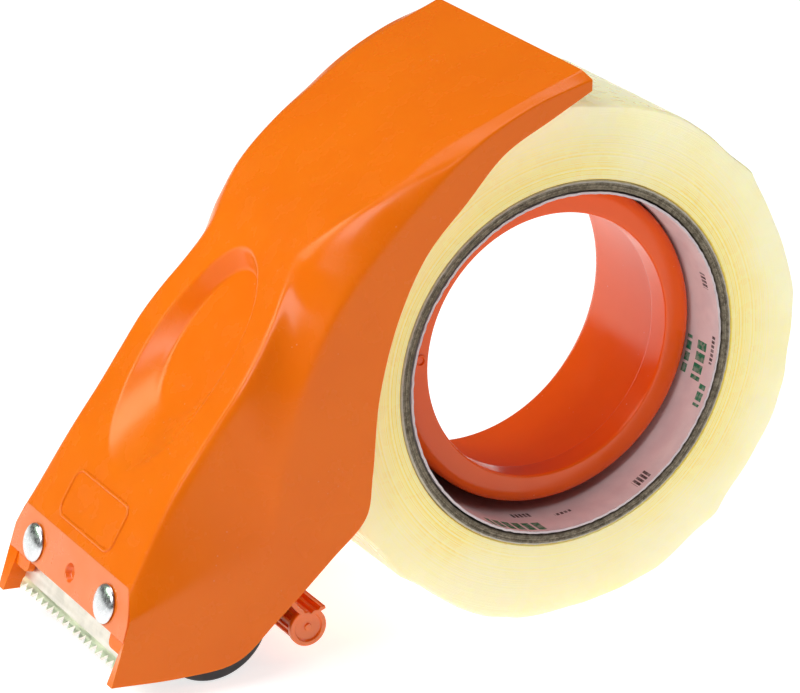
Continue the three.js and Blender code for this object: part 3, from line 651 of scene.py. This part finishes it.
def skin(wall):
    """Rows of points across the shell, near rim to far rim. wall is how far inside the skin lies."""
    at = row_places()
    top = curve_points([s[0] for s in STATIONS], at)
    ridge = curve_points([s[1] for s in STATIONS], at)
    rim = curve_points([(*s[2], s[1][2]) for s in STATIONS], at)
    belly = curve_points([(s[3], 0, 0) for s in STATIONS], at)[:, 0]
    along = np.gradient(top[:, :2], axis=0)
    along /= np.linalg.norm(along, axis=1)[:, None]
    inward = np.stack([along[:, 1], np.zeros(len(at)), -along[:, 0]], -1)

    def corner(line, y, shift):
        return np.stack([line[:, 0], y, line[:, 1]], -1) + inward * shift
    t = corner(top, top[:, 2] - wall / 2, wall)
    r = corner(ridge, ridge[:, 2] - wall, wall * 0.7)
    b = corner(rim, rim[:, 2] - wall, 0)
    face = (t + r) / 2 - inward * belly[:, None]
    pull = 2 * face - (r + t) / 2

    def spread(a, c, fractions, through=None):
        f = fractions[None, :, None]
        if through is None:
            return a[:, None] * (1 - f) + c[:, None] * f
        return a[:, None] * (1 - f) ** 2 + through[:, None] * 2 * f * (1 - f) + c[:, None] * f ** 2
    crown = t * np.array([1, 0, 1])
    side = spread(b, r, np.r_[0, np.linspace(0.06, 1, 36)[:-1]])
    shoulder = spread(r, t, np.linspace(0, 1, 26)[:-1], pull)
    panel = spread(t, crown, np.linspace(0, 1, 50))
    half = np.concatenate([side, shoulder, panel], 1)
    mirror = half[:, :-1][:, ::-1] * np.array([1, -1, 1])
    grid = np.concatenate([half, mirror], 1)
    grid = soften(grid, 2.1)
    grid = grid + inward[:, None] * recess_depth(grid)[..., None]
    return grid * np.array([1, -1, 1])


def soften(grid, width):
    """Rounds the lines that run along the shell, and leaves its free edges where they are."""
    reach = int(3 * width)
    kernel = np.exp(-0.5 * (np.arange(-reach, reach + 1) / width) ** 2)
    kernel /= kernel.sum()
    head = 2 * grid[:, :1] - grid[:, 1:reach + 1][:, ::-1]
    tail = 2 * grid[:, -1:] - grid[:, -reach - 1:-1][:, ::-1]
    padded = np.concatenate([head, grid, tail], 1)
    out = sum(k * padded[:, i:i + grid.shape[1]] for i, k in enumerate(kernel))
    ease = np.clip(np.minimum(np.arange(grid.shape[1]), np.arange(grid.shape[1])[::-1]) / 4, 0, 1)
    return grid + (out - grid) * ease[None, :, None]


def body_skin(material, rim_highlight_material):
    outer, inner = skin(0), skin(WALL)
    rows, columns = outer.shape[:2]
    points = np.concatenate([outer.reshape(-1, 3), inner.reshape(-1, 3)])

    def at(layer, i, j):
        return (layer * rows + i) * columns + j
    faces = []
    for i in range(rows - 1):
        for j in range(columns - 1):
            faces.append((at(0, i, j), at(0, i, j + 1), at(0, i + 1, j + 1), at(0, i + 1, j)))
            faces.append((at(1, i, j), at(1, i + 1, j), at(1, i + 1, j + 1), at(1, i, j + 1)))
        for j, flip in ((0, False), (columns - 1, True)):
            quad = (at(0, i, j), at(0, i + 1, j), at(1, i + 1, j), at(1, i, j))
            faces.append(quad[::-1] if flip else quad)
    for j in range(columns - 1):
        for i, flip in ((0, True), (rows - 1, False)):
            quad = (at(0, i, j), at(0, i, j + 1), at(1, i, j + 1), at(1, i, j))
            faces.append(quad if flip else quad[::-1])
    mesh = bpy.data.meshes.new("body_skin")
    mesh.from_pydata([tuple(p) for p in place(points)], [], faces)
    bm = bmesh.new()
    bm.from_mesh(mesh)
    bmesh.ops.recalc_face_normals(bm, faces=bm.faces)
    weight = bm.edges.layers.float.new("bevel_weight_edge")
    per = rows * columns
    for edge in bm.edges:
        a, b = (v.index for v in edge.verts)
        same = a // per == b // per
        ia, ja = divmod(a % per, columns)
        ib, jb = divmod(b % per, columns)
        runs = (ia == ib and ia in (0, rows - 1)) or (ja == jb and ja in (0, columns - 1))
        if same and runs:
            edge[weight] = 1.0
    bm.to_mesh(mesh)
    bm.free()
    obj = add_object("body_skin", mesh, "body", material, ["body_shell"])
    # The second material, on the bevelled free rims, is lighter and yellower: a painted rim highlight.
    mesh.materials.append(rim_highlight_material)
    bevel = obj.modifiers.new("rim", "BEVEL")
    bevel.width = 0.62 * MM
    bevel.segments = 3
    bevel.limit_method = "WEIGHT"
    bevel.material = 1
    smooth(mesh, 50)
    return outer


def front_panel(material):
    corners = [(-25.2, 0.25), (-28.3, -5.8), (-28.3, -10.7), (28.3, -10.7), (28.3, -5.8), (25.2, 0.25)]
    outline = fillet(corners, [0.6, 2, 0.4, 0.4, 2, 0.6])
    panel = loose(prism("front_panel", outline, 0.0, 3.0, behind_panel))
    dimple = [(0, -0.8), (2.3, -0.8), (1.9, 0.5), (1.5, 1.3), (0, 1.5)]
    cutters = [loose(panel_lathe("dimple", dimple, 0))]
    for y in (-RIVET_OUT, RIVET_OUT):
        cutters.append(loose(panel_lathe("rivet_hole", [(0, -1), (2.3, -1), (2.3, 4), (0, 4)], y)))
    combine(panel, cutters, "DIFFERENCE")
    mesh = panel.data
    bpy.data.objects.remove(panel)
    obj = add_object("front_panel", mesh, "body", material)
    rounded(obj, 0.35)


def panel_lathe(name, profile, y, sides=48):
    """A turned piece whose axle points out of the front panel at the rivets' height."""
    mesh = lathe(name, profile, (0, 0), sides)
    count = len(mesh.vertices)
    co = np.zeros(count * 3)
    mesh.vertices.foreach_get("co", co)
    co = (co.reshape(-1, 3) - np.array([roll_axis.x, 0, roll_axis.z])) / MM
    drawn = np.stack([co[:, 0] * COS - co[:, 2] * SIN, co[:, 1], co[:, 0] * SIN + co[:, 2] * COS], -1)
    out = place(panel_point(drawn[:, 1], drawn[:, 0] + y, drawn[:, 2] - RIVET_DROP))
    mesh.vertices.foreach_set("co", out.ravel())
    face_out(mesh)
    return mesh


def guard_tabs(material):
    for name, side in (("guard_tab_near", -1), ("guard_tab_far", 1)):
        outline = [(side * y, z) for y, z in ((27.4, -10.2), (20.2, -10.2), (20.2, -14.2), (27.4, -14.2))]
        radii = [0.01, 0.01, 1.6, 0.01]
        mesh = prism(name, fillet(outline, radii, 6), 1.4, 2.9, behind_panel)
        rounded(add_object(name, mesh, "body", material), 0.3)


def raised_frame(material, outer):
    """A thin raised line in a rounded rectangle on the top panel, ahead of the thumb recess."""
    mid = outer.shape[1] // 2
    line = outer[:, mid][:, [0, 2]]
    up = np.array([math.cos(RECESS_SLOPE), math.sin(RECESS_SLOPE)])
    s = (line - np.array(RECESS_CENTRE)) @ up
    order = np.argsort(s)
    length, width, corner = FRAME_SIZE
    x, y = length / 2 - corner, width / 2 - corner
    path = []
    for cx, cy, start in ((x, y, 0), (-x, y, 90), (-x, -y, 180), (x, -y, 270)):
        for k in range(9):
            a = math.radians(start + 90 * k / 8)
            path.append((cx + corner * math.cos(a), cy + corner * math.sin(a), math.cos(a), math.sin(a)))
    section = [(-0.42, -0.25), (-0.36, 0.1), (-0.16, 0.3), (0.16, 0.3), (0.36, 0.1), (0.42, -0.25)]
    points = []
    out = np.array([-math.sin(RECESS_SLOPE), 0, math.cos(RECESS_SLOPE)])
    for px, py, nx, ny in path:
        for across, rise in section:
            sx, sy = px + nx * across - FRAME_CENTRE, py + ny * across
            at = np.interp(sx, s[order], line[order, 0]), np.interp(sx, s[order], line[order, 1])
            points.append(np.array([at[0], sy, at[1]]) + out * rise)
    count, rim = len(path), len(section)
    faces = []
    for i in range(count):
        here, ahead = i * rim, (i + 1) % count * rim
        for k in range(rim):
            n = (k + 1) % rim
            faces.append((here + k, here + n, ahead + n, ahead + k))
    mesh = mesh_of("raised_frame", place(np.array(points)), faces)
    smooth(mesh, 60)
    add_object("raised_frame", mesh, "body", material)


def circle(centre, radius, count):
    return [(centre[0] + radius * math.cos(2 * math.pi * k / count),
             centre[1] + radius * math.sin(2 * math.pi * k / count)) for k in range(count)]


def on_hub(radius, degrees):
    """A spot at a radius and an angle about the hub's axis."""
    t = math.radians(degrees)
    return HUB[0] + radius * math.cos(t), HUB[1] + radius * math.sin(t)


def hub_carrier(material):
    """The plate on the far side that carries the hub, with its ring, seats and guide roller boss."""
    web = [
        (-66, -56.5), (-61, -63.5), (-46, -63), (-22, -43.5), (-22, 44),
        (-36.5, 39.5), (-46.5, 24), (-52, 0), (-56, -36),
    ]
    low, high = 27.1, 29.5
    base = loose(prism("hub_carrier", fillet(web, 3.0), low, high, along_y))
    adds = [loose(prism("ring", circle(HUB, 49.5, 120), low, high - 0.001, along_y)),
            loose(lathe("boss", [(0, 24.9), (4.1, 24.9), (4.1, high - 0.002), (0, high - 0.002)], GUIDE, 64))]
    combine(base, adds, "UNION")
    cuts = [loose(prism("hole", circle(HUB, 39.2, 120), low - 1, high + 1, along_y)),
            loose(lathe("socket", [(0, 24.3), (1.5, 24.3), (1.5, 28.4), (0, 28.4)], GUIDE, 32))]
    for a in STUD_ANGLES:
        spot = on_hub(STUD_CIRCLE, a)
        profile = [(0, low - 1), (2.2, low - 1), (2.2, 28.1), (3.2, 28.1), (3.2, high + 1), (0, high + 1)]
        cuts.append(loose(lathe("seat", profile, spot, 40)))
    combine(base, cuts, "DIFFERENCE")
    mesh = base.data
    bpy.data.objects.remove(base)
    rounded(add_object("hub_carrier", mesh, "body", material), 0.3)


def axle_bosses(material):
    """Round bosses inside both walls that hold the press roller's axle."""
    for name, side in (("axle_boss_near", -1), ("axle_boss_far", 1)):
        profile = fillet([(2.8, 24.4), (5.0, 24.4), (5.0, 28.0), (2.8, 28.0)], [0.3, 0.3, 0.01, 0.01])
        mesh = lathe(name, [(r, side * y) for r, y in profile], PRESS, 64)
        add_object(name, mesh, "body", material)


# ------------------------------------------------------------------ hub

def tape_hub(material):
    near = -14.0
    outline = [
        (29.8, near), (36.4, near), (36.4, 24.6), (46, 24.6), (46, 26.8), (37.8, 26.8),
        (35.2, 24.6), (34.0, near + 2.5), (32.0, near + 2.5), (32.0, near + 6.5), (29.8, near + 6.5),
    ]
    radii = [0.7, 4.6, 0.8, 0.6, 0.6, 0.5, 1.5, 1.2, 0.5, 0.5, 0.8]
    mesh = lathe("tape_hub", fillet(outline, radii, 7), HUB, 200)
    add_object("tape_hub", mesh, "body", material, ["tape_hub"])
    for k, a in enumerate(STUD_ANGLES):
        spot = on_hub(STUD_CIRCLE, a)
        profile = fillet([(0, 26), (1.9, 26), (1.9, 28.4), (2.9, 28.4), (2.5, 29.3), (0, 29.3)],
                         [0, 0, 0.1, 0.2, 0.6, 0], 4, closed=False)
        stud = lathe(f"hub_stud_{k + 1}", profile, spot, 40, closed=False)
        add_object(f"hub_stud_{k + 1}", stud, "body", material)
    raised, sunk = near - 0.4, near + 0.4
    face = [(0, near + 0.05), (0.75, near + 0.05), (0.95, raised), (1.3, raised), (1.45, sunk)]
    profile = fillet(face, 0.12, 3, closed=False) + [np.array([0, sunk])]
    mark = lathe("gate_mark", profile, on_hub(32, 186), 40, closed=False)
    add_object("gate_mark", mark, "body", material)


# ------------------------------------------------------------------ blade, rivets

def toothed_blade(material):
    """A rounded copy of the blade's CAD mesh, which stands for it and leaves the node as it is."""
    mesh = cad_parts["blade"].data.copy()
    mesh.materials.clear()
    rounded(add_object("blade_strip", mesh, "body", material, ["blade"]), 0.08, 2)


def rivets(material):
    for name, y in (("rivet_near", -RIVET_OUT), ("rivet_far", RIVET_OUT)):
        dome = [(4.2 * math.sin(t), -0.3 - 1.4 * math.cos(t)) for t in np.linspace(0, math.pi / 2, 14)]
        tail = [(2.0, -0.3), (2.0, 4.3), (3.1, 4.3), (2.9, 5.1), (0, 5.3)]
        mesh = panel_lathe(name, dome + tail, y, 72)
        smooth(mesh, 50)
        add_object(name, mesh, "body", material, [name])


# ------------------------------------------------------------------ press roller

def press_roller(looks):
    half = 23.0
    rubber = fillet([(9.4, -half), (12.8, -half), (12.8, half), (9.4, half)], [0.2, 0.8, 0.8, 0.2])
    add_object("press_roller_rubber", lathe("press_roller_rubber", rubber, PRESS, 160), "press_roller",
               looks["rubber"], ["press_roller_rubber"])
    core = fillet([(6.9, -half), (9.1, -half), (9.1, half), (6.9, half)], 0.3)
    add_object("press_roller_core", lathe("press_roller_core", core, PRESS, 128), "press_roller",
               looks["core"], ["press_roller_core"])
    for name, side in (("press_roller_bush_near", -1), ("press_roller_bush_far", 1)):
        profile = [(2.8, 24.1), (8.0, 24.1), (8.0, 23.3), (6.6, 23.3), (6.6, 17.3), (2.8, 17.3)]
        bush = fillet([(r, side * y) for r, y in profile], 0.2)
        add_object(name, lathe(name, bush, PRESS, 96), "press_roller", looks["bush"], [name])
    axle = fillet([(0, -27.2), (2.5, -27.2), (2.5, 27.2), (0, 27.2)], 0.3, closed=False)
    add_object("press_roller_axle", lathe("press_roller_axle", axle, PRESS, 64, closed=False), "body",
               looks["axle"], ["press_roller_axle"])


# ------------------------------------------------------------------ guide roller and flap

def guide_roller(looks):
    near, far, root, tip, ribs = -20.4, 24.3, 3.4, 4.0, 14
    outline = []
    for k in range(ribs):
        base = 2 * math.pi * (k + 0.5) / ribs
        half_tip, half_root = 0.2 / tip, 0.25 / root
        for a, r in ((-half_root - 0.05, root), (-half_root, root + 0.05), (-half_tip, tip), (half_tip, tip),
                     (half_root, root + 0.05), (half_root + 0.05, root)):
            outline.append((GUIDE[0] + r * math.cos(base + a), GUIDE[1] + r * math.sin(base + a)))
        for f in (0.33, 0.66):
            a = base + half_root + (2 * math.pi / ribs - 2 * half_root) * f
            outline.append((GUIDE[0] + root * math.cos(a), GUIDE[1] + root * math.sin(a)))
    sleeve = add_object("guide_roller_sleeve", prism("guide_roller_sleeve", outline, near, far, along_y),
                        "guide_roller", looks["guide"], ["guide_roller_sleeve"])
    smooth(sleeve.data, 40)
    face = [(0, -21.9), (0.8, -21.9), (0.8, -21.5), (3.0, -21.5), (3.2, -22.0), (4.1, -22.0), (4.3, -21.8)]
    plug = [(4.3, -20.7), (1.2, -20.7), (1.2, -18.2), (0, -18.2)]
    cap = fillet(face + plug, 0.18, 4, closed=False)
    add_object("guide_roller_cap", lathe("guide_roller_cap", cap, GUIDE, 96, closed=False), "guide_roller",
               looks["guide"], ["guide_roller_cap"])
    axle = [(0, -17.9), (1.2, -17.9), (1.2, 28.1), (0, 28.1)]
    add_object("guide_roller_axle", lathe("guide_roller_axle", axle, GUIDE, 40, closed=False), "body",
               looks["axle"], ["guide_roller_axle"])


def guide_flap(material):
    path = [FLAP_PIVOT, (-61.3, -48.3), (-58.9, -52.3), (-54.9, -54.6), (-51.2, -52.8)]
    steps, first = 36, 4
    at = np.arange(first, steps + 1) / steps
    line = curve_points(path, at)
    ahead = curve_points(path, np.minimum(at + 1e-4, 1)) - curve_points(path, np.maximum(at - 1e-4, 0))
    ahead /= np.linalg.norm(ahead, axis=1)[:, None]
    out = np.stack([-ahead[:, 1], ahead[:, 0]], -1)
    step = np.arange(first, steps + 1)
    rib = (step % 4 >= 2) & (step > 12) & (step < steps - 1)
    upper = line + out * (0.36 + 0.34 * rib)[:, None]
    lower = line - out * 0.36
    outline = [tuple(p) for p in lower] + [tuple(p) for p in upper[::-1]]
    base = loose(prism("guide_flap", outline, -25.8, 25.8, along_y))
    adds = [loose(lathe("eye", [(0, -25.8), (2.6, -25.8), (2.6, 25.8), (0, 25.8)], FLAP_PIVOT, 64)),
            loose(lathe("pin", [(0, -27.8), (1.5, -27.8), (1.5, 27.8), (0, 27.8)], FLAP_PIVOT, 48))]
    combine(base, adds, "UNION")
    mesh = base.data
    bpy.data.objects.remove(base)
    rounded(add_object("guide_flap", mesh, "flap", material, ["guide_flap"]), 0.16, 3)


# ------------------------------------------------------------------ roll

def waves(seed, count, low, high):
    """A smooth wavy function of an angle, about -1 to 1."""
    rng = np.random.default_rng(seed)
    orders = rng.integers(low, high + 1, count)
    phases = rng.uniform(0, 2 * math.pi, count)
    heights = rng.uniform(0.4, 1.0, count)
    heights /= heights.sum() * 0.6

    def value(angle):
        return sum(h * np.sin(o * angle + p) for o, p, h in zip(orders, phases, heights))
    return value


def tape_roll(looks):
    outside, inside, half = ROLL_RADIUS, 41.3, TAPE_HALF
    bend, ripple, lift = waves(3, 6, 3, 9), waves(4, 8, 10, 34), waves(8, 9, 8, 40)
    floor_angle = -math.pi / 2

    def warp(angle, r, y):
        share = np.clip((r - inside) / (outside - inside), 0, 1)
        away = np.clip(np.abs(np.angle(np.exp(1j * (angle - floor_angle)))) / 0.35, 0, 1)
        scallop = np.abs(np.sin(6.5 * angle + 0.9 * bend(angle)))
        dent = -0.95 * scallop + 0.3 * (bend(angle + 1) - 1) + 0.12 * (ripple(angle) - 1)
        r = r + dent * away * share ** 3
        side = np.sign(y) * np.clip((np.abs(y) - 22) / 2, 0, 1)
        return r, y - side * share * (0.12 + 0.12 * lift(angle))
    steps = 30
    ringed = [(outside - (outside - inside) * k / steps, -half) for k in range(steps + 1)]
    back = [(inside + (outside - inside) * k / steps, half) for k in range(steps + 1)]
    rim = [(outside, half - 0.5), (outside, half - 3), (outside, 8), (outside, -8), (outside, 3 - half),
           (outside, 0.5 - half)]
    ringed[0], back[-1] = (outside - 0.4, -half), (outside - 0.4, half)
    winding = lathe("tape_winding", ringed + back + rim, ROLL, 360, warp)
    add_object("tape_winding", winding, "tape_roll", looks["film"], ["tape_winding"])
    rough_r, rough_y = waves(21, 14, 20, 140), waves(22, 16, 15, 150)

    def torn(angle, r, y):
        end = np.clip((np.abs(y) - 23.2) / 0.8, 0, 1)
        return r + 0.10 * rough_r(angle) * end, y + 0.16 * rough_y(angle + r) * end * np.sign(y)
    board = fillet([(38.9, -half), (39.6, -half + 0.05), (40.3, -half - 0.05), (41.0, -half), (41.0, half),
                    (40.3, half), (39.6, half), (38.9, half)], [0.3, 0.3, 0.3, 0.3, 0.3, 0.1, 0.1, 0.3], 3)
    add_object("core_tube", lathe("core_tube", board, ROLL, 420, torn), "tape_roll",
               looks["board"], ["core_tube"])
    ragged = waves(31, 18, 12, 120)

    def fuzzy(angle, r, y):
        end = np.clip((np.abs(y) - 22.5) / 1.5, 0, 1)
        fray = 0.22 * (ragged(angle + 1) - 0.6) * end
        return r - 0.12 * end * (1 + ragged(angle)), y + np.sign(y) * fray
    stretch = [(CORE_BORE, y) for y in np.linspace(-half, half, 13)]
    paper = stretch + [(38.6, y) for y in np.linspace(half, -half, 13)]
    add_object("core_liner", lathe("core_liner", paper, ROLL, 420, fuzzy), "tape_roll",
               looks["liner"], ["core_liner"])


# ------------------------------------------------------------------ everything together

make_camera()
make_studio()

orange = moulded("body_orange", (0.91, 0.172, 0.003), (0.88, 0.158, 0.003))
# A lighter, yellower copy of the body's orange for the bevelled free rims: its colour is a painted highlight
# for light caught in and on the thin edges.
rim_highlight_orange = moulded("body_orange_painted_rim_highlight", (1.0, 0.30, 0.01), (0.98, 0.27, 0.01), 0.2, 0.3)
panel_orange = moulded("panel_orange", (0.90, 0.165, 0.006), (0.87, 0.152, 0.005), 0.3, 0.12, 0.9)
hub_orange = moulded("hub_orange", (0.98, 0.116, 0.002), (0.93, 0.102, 0.002), 0.2, 0.08, 0.45)
guide_orange = moulded("guide_orange", (1.0, 0.19, 0.006), (0.94, 0.16, 0.005), 0.14, 0.25, 0.9)
steel = metal("bright_steel", (0.92, 0.84, 0.78), 0.38, (1, 0.06, 1), 1500)
axle_steel = metal("drawn_steel", (0.62, 0.63, 0.64), 0.3, (1, 0.05, 1), 1200)
bright = metal("rivet_metal", (0.80, 0.79, 0.84), 0.27, (1, 1, 1), 1300, 0.14)
looks = {
    "rubber": dull("rubber", (0.035, 0.035, 0.038), 0.55, 0.3, 1800, 0.7),
    "core": dull("roller_core", (0.62, 0.62, 0.58), 0.4, 0.1),
    "bush": dull("bush", (0.72, 0.70, 0.64), 0.4, 0.1),
    "axle": axle_steel,
    "guide": guide_orange,
    "film": film_material(),
    "board": board_material(),
    "liner": liner_material(),
}

outer_skin = body_skin(orange, rim_highlight_orange)
front_panel(panel_orange)
guard_tabs(orange)
raised_frame(orange, outer_skin)
hub_carrier(orange)
axle_bosses(orange)
tape_hub(hub_orange)
toothed_blade(steel)
rivets(bright)
press_roller(looks)
guide_roller(looks)
guide_flap(guide_orange)
tape_roll(looks)
